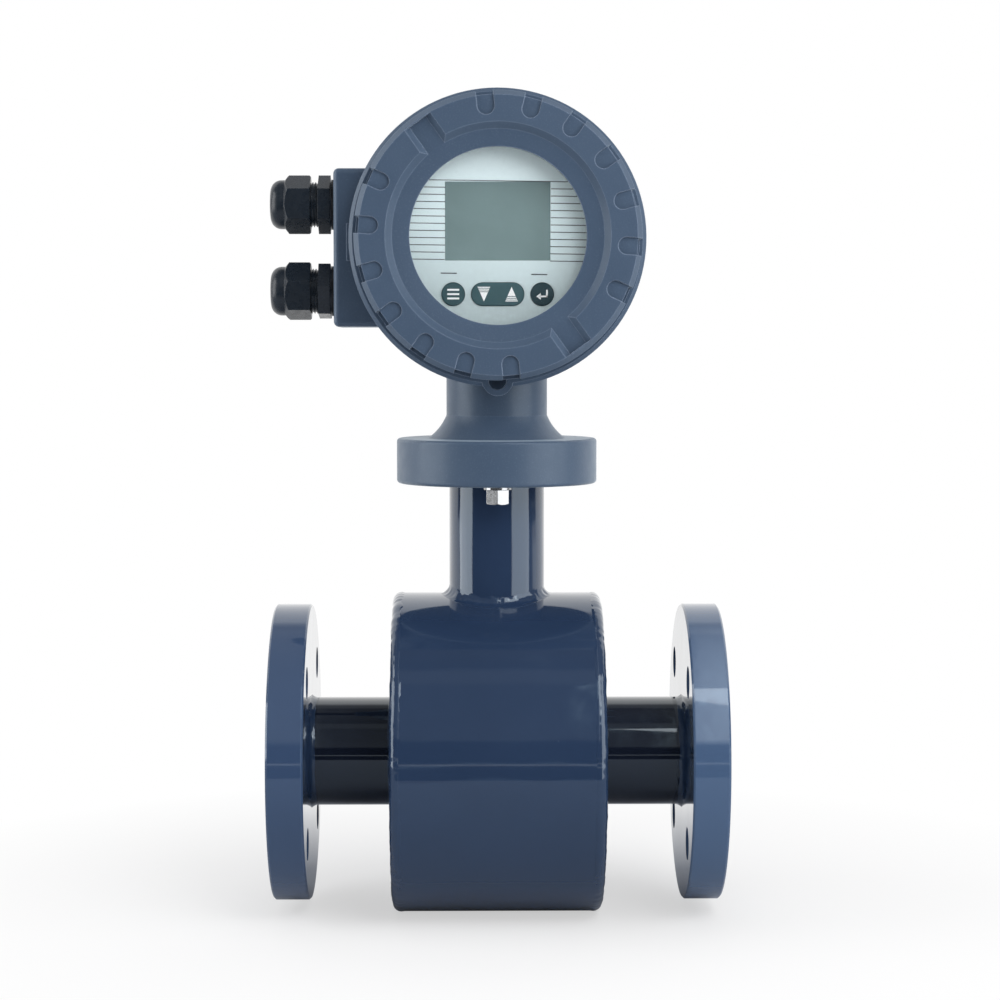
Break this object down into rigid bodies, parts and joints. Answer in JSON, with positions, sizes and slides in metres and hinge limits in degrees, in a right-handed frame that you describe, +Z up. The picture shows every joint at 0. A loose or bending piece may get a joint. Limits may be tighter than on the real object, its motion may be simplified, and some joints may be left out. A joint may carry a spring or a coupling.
{
  "type": "electromagnetic flow meter",
  "caption": "Flanged electromagnetic flow meter: painted measuring tube in a round sensor drum, with a transmitter head on a neck, round window display, keys and side cable glands.",
  "frame": {"origin": "centre of the measuring tube's bore, half way between the flange faces", "axes": "+X along the flow, +Z up to the transmitter head, display faces -Y"},
  "size_m": [0.25, 0.178, 0.4542],
  "materials": {
    "sensor_paint": "glossy dark blue paint",
    "head_paint": "satin fine-textured blue-grey powder coat",
    "bright_steel": "bright zinc-plated steel",
    "electrode_steel": "turned stainless steel",
    "liner": "smooth white fluoropolymer",
    "insulator": "ivory moulded plastic",
    "soft_iron": "plain soft iron",
    "bobbin_plastic": "black moulded plastic",
    "copper_wire": "enamelled copper wire",
    "gasket_rubber": "black rubber",
    "gland_plastic": "black moulded nylon",
    "window_glass": "clear polished glass",
    "plate_print": "pale blue printed plate",
    "display_glass": "grey-green display",
    "key_rubber": "dark teal key",
    "circuit_board": "green circuit board",
    "component": "black moulded component",
    "terminal_plastic": "green moulded terminal block",
    "brass_post": "turned brass"
  },
  "bodies": {
    "meter": {"measuring_tube": "sensor_paint", "tube_liner": "liner", "inlet_flange": "sensor_paint", "outlet_flange": "sensor_paint", "flange_welds": "sensor_paint", "electrodes": "electrode_steel", "electrode_bushes": "insulator", "electrode_springs": "bright_steel", "electrode_nuts": "bright_steel", "upper_pole_shoe": "soft_iron", "lower_pole_shoe": "soft_iron", "upper_coil_core": "soft_iron", "lower_coil_core": "soft_iron", "upper_coil_bobbin": "bobbin_plastic", "lower_coil_bobbin": "bobbin_plastic", "upper_coil_winding": "copper_wire", "lower_coil_winding": "copper_wire", "return_yoke": "soft_iron", "sensor_shell": "sensor_paint", "end_plates": "sensor_paint", "shell_welds": "sensor_paint", "plate_welds": "sensor_paint", "neck_tube": "sensor_paint", "neck_weld": "sensor_paint", "neck_flange": "sensor_paint", "neck_gasket": "gasket_rubber", "collar_bolts": "bright_steel", "bolt_washers": "bright_steel", "head_housing": "head_paint", "face_plate": "plate_print", "lcd_module": "display_glass", "key_switches": "component", "display_board": "circuit_board", "main_board": "circuit_board", "board_posts": "brass_post", "transformer": "component", "capacitors": "component", "chips": "component", "terminal_board": "circuit_board", "terminal_posts": "brass_post", "terminal_blocks": "terminal_plastic", "terminal_screws": "bright_steel", "upper_gland_body": "gland_plastic", "lower_gland_body": "gland_plastic", "gland_gaskets": "gasket_rubber", "gland_locknuts": "gland_plastic"},
    "front_seal": {"front_cover_oring": "gasket_rubber"},
    "front_cover": {"front_cover": "head_paint", "window_glass": "window_glass", "window_seal": "gasket_rubber", "window_retainer": "bright_steel"},
    "rear_seal": {"rear_cover_oring": "gasket_rubber"},
    "rear_cover": {"rear_cover": "head_paint"},
    "function_key": {"function_key": "key_rubber"},
    "rocker_key": {"rocker_key": "key_rubber"},
    "enter_key": {"enter_key": "key_rubber"},
    "upper_seal": {"upper_gland_seal": "gasket_rubber"},
    "upper_nut": {"upper_gland_nut": "gland_plastic"},
    "lower_seal": {"lower_gland_seal": "gasket_rubber"},
    "lower_nut": {"lower_gland_nut": "gland_plastic"}
  },
  "joints": [
    {"name": "front_cover_travel", "type": "slide", "parent": "meter", "child": "front_seal", "axis": [0, -1, 0], "range_m": [0, 0.012]},
    {"name": "front_cover_turn", "type": "hinge", "parent": "front_seal", "child": "front_cover", "pos_m": [0, -0.05, 0.285], "axis": [0, -1, 0], "range_deg": [0, 2160]},
    {"name": "rear_cover_travel", "type": "slide", "parent": "meter", "child": "rear_seal", "axis": [0, 1, 0], "range_m": [0, 0.012]},
    {"name": "rear_cover_turn", "type": "hinge", "parent": "rear_seal", "child": "rear_cover", "pos_m": [0, 0.05, 0.285], "axis": [0, 1, 0], "range_deg": [0, 2160]},
    {"name": "upper_nut_travel", "type": "slide", "parent": "meter", "child": "upper_seal", "axis": [-1, 0, 0], "range_m": [0, 0.006]},
    {"name": "upper_nut_turn", "type": "hinge", "parent": "upper_seal", "child": "upper_nut", "pos_m": [-0.11, 0, 0.305], "axis": [-1, 0, 0], "range_deg": [0, 1440]},
    {"name": "lower_nut_travel", "type": "slide", "parent": "meter", "child": "lower_seal", "axis": [-1, 0, 0], "range_m": [0, 0.006]},
    {"name": "lower_nut_turn", "type": "hinge", "parent": "lower_seal", "child": "lower_nut", "pos_m": [-0.11, 0, 0.2573], "axis": [-1, 0, 0], "range_deg": [0, 1440]},
    {"name": "function_press", "type": "slide", "parent": "meter", "child": "function_key", "axis": [0, 1, 0], "range_m": [0, 0.00025], "stiffness_N_per_m": 600},
    {"name": "enter_press", "type": "slide", "parent": "meter", "child": "enter_key", "axis": [0, 1, 0], "range_m": [0, 0.00025], "stiffness_N_per_m": 600},
    {"name": "rocker_tilt", "type": "hinge", "parent": "meter", "child": "rocker_key", "pos_m": [0, -0.05, 0.2546], "axis": [0, 0, 1], "range_deg": [-1, 1], "stiffness_Nm_per_rad": 0.3}
  ],
  "couplings": [
    {"joint": "front_cover_travel", "follows": "front_cover_turn", "m_per_rad": 0.00031831},
    {"joint": "rear_cover_travel", "follows": "rear_cover_turn", "m_per_rad": 0.00031831},
    {"joint": "upper_nut_travel", "follows": "upper_nut_turn", "m_per_rad": 0.00023873},
    {"joint": "lower_nut_travel", "follows": "lower_nut_turn", "m_per_rad": 0.00023873}
  ]
}
